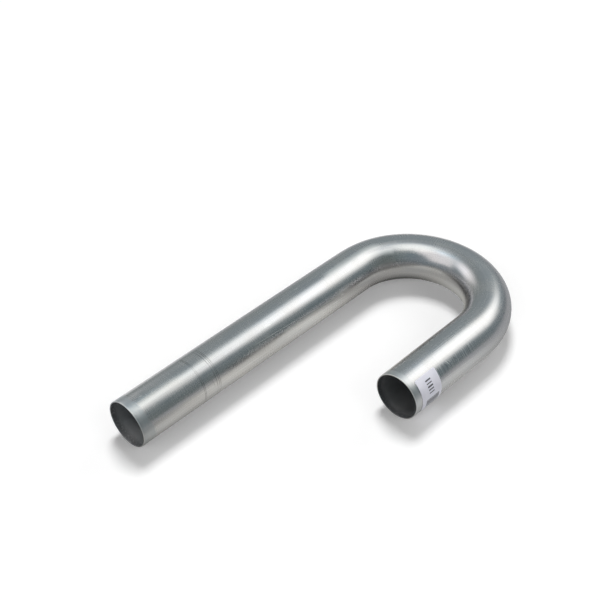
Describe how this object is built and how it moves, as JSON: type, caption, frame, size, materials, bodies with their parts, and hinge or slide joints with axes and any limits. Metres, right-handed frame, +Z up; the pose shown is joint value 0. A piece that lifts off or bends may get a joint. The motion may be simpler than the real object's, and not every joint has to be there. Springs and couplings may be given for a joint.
{
  "type": "exhaust j-bend",
  "caption": "Round thin-walled steel exhaust tube bent through half a turn into a flat J, with a long leg, a short leg and a blank paper label near the short leg's mouth.",
  "frame": {"origin": "on the surface the tube lies on, under the middle of the tube's box", "axes": "+X along both legs from the mouths towards the bend, +Y from the short leg towards the long leg, +Z up, square to the plane of the bend"},
  "size_m": [0.539, 0.2671, 0.0635],
  "materials": {
    "bright_steel": "bright as-drawn steel, satin, with fine lengthwise drawing lines",
    "label_paper": "semi-gloss white paper label"
  },
  "bodies": {
    "root": {"tube": "bright_steel", "label": "label_paper"}
  },
  "joints": []
}
